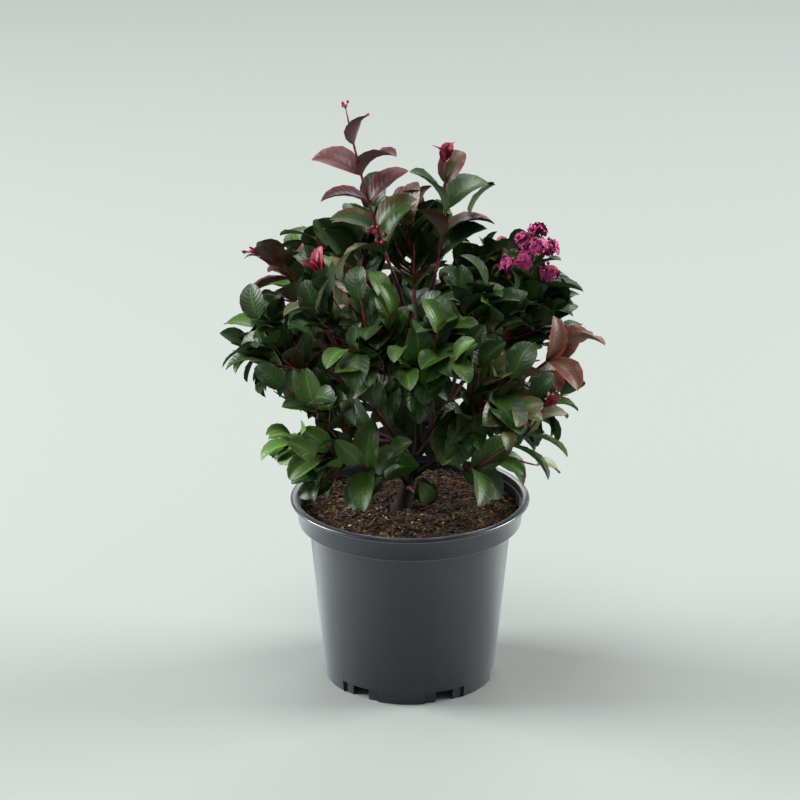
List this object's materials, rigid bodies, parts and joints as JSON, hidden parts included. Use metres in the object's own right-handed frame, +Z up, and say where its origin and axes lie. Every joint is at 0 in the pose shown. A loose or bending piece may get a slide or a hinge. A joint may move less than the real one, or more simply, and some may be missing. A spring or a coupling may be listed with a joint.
{
  "type": "potted shrub",
  "caption": "Young crape myrtle in bloom in a round nursery pot: a short woody trunk, arching boughs and masses of paired glossy leaves over bark compost.",
  "frame": {"origin": "on the ground under the middle of the pot's foot, which is also the middle of the plant's footprint", "axes": "+Z up; -Y towards the side that faces the viewer in the picture; +X to that viewer's right"},
  "size_m": [0.3426, 0.2992, 0.5545],
  "materials": {
    "pot": "charcoal grey injection-moulded polypropylene with a satin sheen",
    "soil": "loose moist compost of bark chips and coir fibre",
    "bark": "dark brown bark on the trunk, red on the young stems",
    "green_leaves": "glossy dark green leaves",
    "bronze_leaves": "glossy young leaves, purple-bronze"
  },
  "bodies": {
    "root": {"pot": "pot", "soil": "soil", "trunk": "bark", "bough_crown_top": "bark", "bough_crown_right": "bark", "bough_shoulder": "bark", "bough_left_back": "bark", "bough_left_high": "bark", "bough_whorl": "bark", "bough_left_mid": "bark", "bough_left_lower": "bark", "bough_left_bottom": "bark", "bough_front_left_low": "bark", "bough_right_bronze": "bark", "bough_right_flower": "bark", "bough_right_mid": "bark", "bough_right_low": "bark", "bough_right_bottom": "bark", "bough_centre": "bark", "bough_centre_left": "bark", "bough_centre_right": "bark", "bough_heart": "bark", "bough_rear_top": "bark", "bough_rear_left_high": "bark", "bough_rear_left_low": "bark", "bough_rear_right": "bark", "bough_rear_right_high": "bark", "bough_rear_mid": "bark", "bough_rear_low": "bark", "bough_right_rear_low": "bark", "bough_foot_sprig": "bark", "leaves_crown_top": "bronze_leaves", "leaves_crown_right": "bronze_leaves", "leaves_shoulder": "green_leaves", "leaves_left_back": "green_leaves", "leaves_left_high": "bronze_leaves", "leaves_whorl": "green_leaves", "leaves_left_mid": "green_leaves", "leaves_left_lower": "green_leaves", "leaves_left_bottom": "green_leaves", "leaves_front_left_low": "green_leaves", "leaves_right_bronze": "bronze_leaves", "leaves_right_flower": "green_leaves", "leaves_right_mid": "green_leaves", "leaves_right_low": "green_leaves", "leaves_right_bottom": "green_leaves", "leaves_centre": "green_leaves", "leaves_centre_left": "green_leaves", "leaves_centre_right": "green_leaves", "leaves_heart": "green_leaves", "leaves_rear_top": "green_leaves", "leaves_rear_left_high": "green_leaves", "leaves_rear_left_low": "green_leaves", "leaves_rear_right": "green_leaves", "leaves_rear_right_high": "green_leaves", "leaves_rear_mid": "green_leaves", "leaves_rear_low": "green_leaves", "leaves_right_rear_low": "green_leaves", "leaves_foot_sprig": "green_leaves"}
  },
  "joints": []
}
